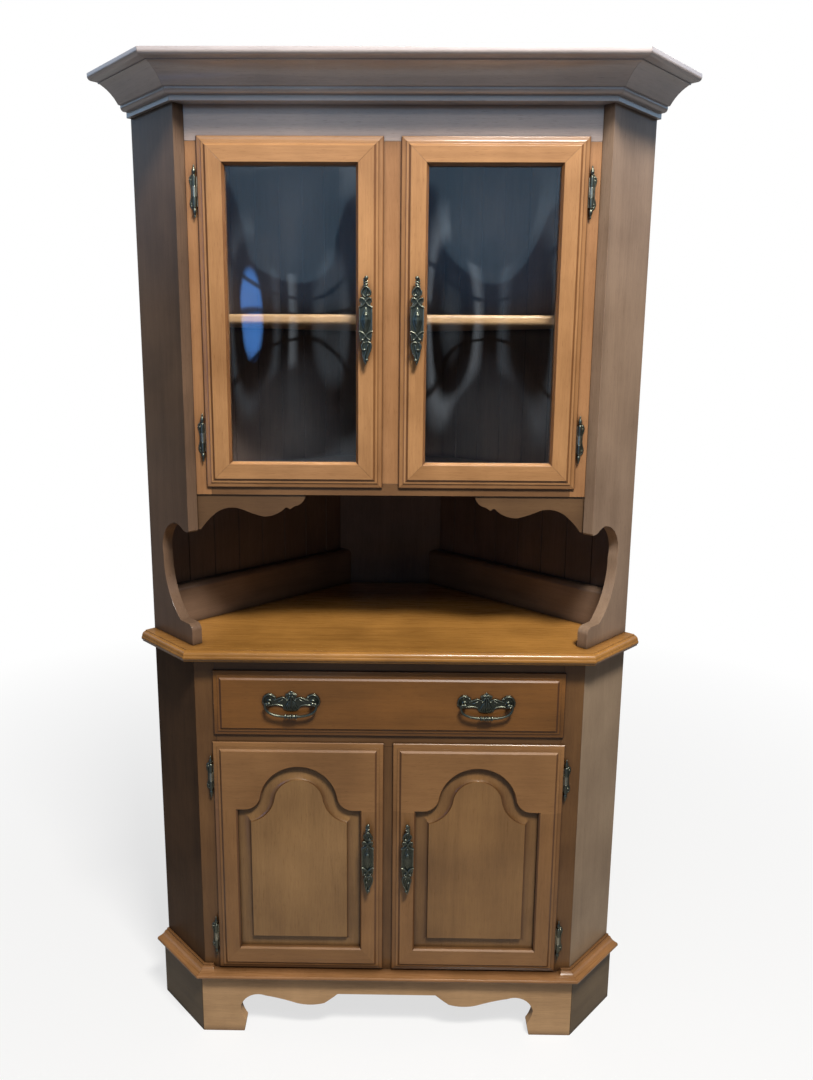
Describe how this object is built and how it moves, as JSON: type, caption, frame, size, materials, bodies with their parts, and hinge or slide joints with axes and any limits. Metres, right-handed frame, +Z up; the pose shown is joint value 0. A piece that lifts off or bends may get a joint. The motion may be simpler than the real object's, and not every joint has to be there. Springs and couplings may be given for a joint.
{
  "type": "corner curio cabinet",
  "caption": "Two-piece corner hutch: bubble-glass display doors over an open counter niche, with a drawer and raised-panel doors below.",
  "frame": {"origin": "floor level, in the middle of the plan's bounding box (crown to rear board)", "axes": "+Z up, front towards -Y, the room's corner towards +Y, +X to the viewer's right"},
  "size_m": [1.1056, 0.56, 1.93],
  "materials": {
    "back_wood": "dull stain",
    "counter_wood": "satin lacquer",
    "frame_wood": "satin nutmeg stain",
    "hardware": "antique",
    "inside_wood": "satin stain",
    "moulding_wood": "satin nutmeg stain",
    "pane": "clear",
    "panel_wood": "satin nutmeg stain",
    "side_wood": "satin nutmeg stain"
  },
  "bodies": {
    "root": {"base_back_panels": "back_wood", "base_bottom_board": "inside_wood", "base_bottom_rail": "frame_wood", "base_drawer_rail": "frame_wood", "base_moulding_front": "moulding_wood", "base_moulding_sides": "moulding_wood", "base_rear_board": "back_wood", "base_side_left": "side_wood", "base_side_right": "side_wood", "base_stiles": "frame_wood", "base_top_rail": "frame_wood", "countertop": "counter_wood", "crown_front": "moulding_wood", "crown_sides": "moulding_wood", "drawer_runners": "inside_wood", "gallery_rails": "frame_wood", "hinge_frame_leaves": "hardware", "hutch_back_panels": "back_wood", "hutch_bottom_rail": "frame_wood", "hutch_floor": "inside_wood", "hutch_rear_board": "back_wood", "hutch_shelf": "inside_wood", "hutch_side_left": "side_wood", "hutch_side_right": "side_wood", "hutch_stiles": "frame_wood", "hutch_top": "inside_wood", "hutch_top_rail": "frame_wood", "plinth_front": "frame_wood", "plinth_sides": "side_wood", "valance_brackets": "frame_wood"},
    "drawer": {"bail_backplates": "hardware", "drawer_back": "inside_wood", "drawer_bottom": "inside_wood", "drawer_front": "frame_wood", "drawer_sides": "inside_wood"},
    "bail_left": {"bail_left": "hardware"},
    "bail_right": {"bail_right": "hardware"},
    "lower_door_left": {"lower_door_left_hinge_leaves": "hardware", "lower_door_left_panel": "panel_wood", "lower_door_left_pull": "hardware", "lower_door_left_rails": "frame_wood", "lower_door_left_stiles": "frame_wood"},
    "lower_door_right": {"lower_door_right_hinge_leaves": "hardware", "lower_door_right_panel": "panel_wood", "lower_door_right_pull": "hardware", "lower_door_right_rails": "frame_wood", "lower_door_right_stiles": "frame_wood"},
    "upper_door_left": {"upper_door_left_glass": "pane", "upper_door_left_glass_stops": "frame_wood", "upper_door_left_hinge_leaves": "hardware", "upper_door_left_pull": "hardware", "upper_door_left_rails": "frame_wood", "upper_door_left_stiles": "frame_wood"},
    "upper_door_right": {"upper_door_right_glass": "pane", "upper_door_right_glass_stops": "frame_wood", "upper_door_right_hinge_leaves": "hardware", "upper_door_right_pull": "hardware", "upper_door_right_rails": "frame_wood", "upper_door_right_stiles": "frame_wood"}
  },
  "joints": [
    {"name": "drawer_slide", "type": "slide", "parent": "root", "child": "drawer", "axis": [0, -1, 0], "range_m": [0, 0.2]},
    {"name": "bail_left_swing", "type": "hinge", "parent": "drawer", "child": "bail_left", "pos_m": [-0.1935, -0.219, 0.75525], "axis": [-1, 0, 0], "range_deg": [0, 85]},
    {"name": "lower_door_left_hinge", "type": "hinge", "parent": "root", "child": "lower_door_left", "pos_m": [-0.3595, -0.204, 0.40675], "axis": [0, 0, -1], "range_deg": [0, 95]},
    {"name": "upper_door_left_hinge", "type": "hinge", "parent": "root", "child": "upper_door_left", "pos_m": [-0.35614, -0.18844, 1.499], "axis": [0, 0, -1], "range_deg": [0, 110]},
    {"name": "bail_right_swing", "type": "hinge", "parent": "drawer", "child": "bail_right", "pos_m": [0.1935, -0.219, 0.75525], "axis": [-1, 0, 0], "range_deg": [0, 85]},
    {"name": "lower_door_right_hinge", "type": "hinge", "parent": "root", "child": "lower_door_right", "pos_m": [0.3595, -0.204, 0.40675], "axis": [0, 0, 1], "range_deg": [0, 95]},
    {"name": "upper_door_right_hinge", "type": "hinge", "parent": "root", "child": "upper_door_right", "pos_m": [0.35614, -0.18844, 1.499], "axis": [0, 0, 1], "range_deg": [0, 110]}
  ]
}
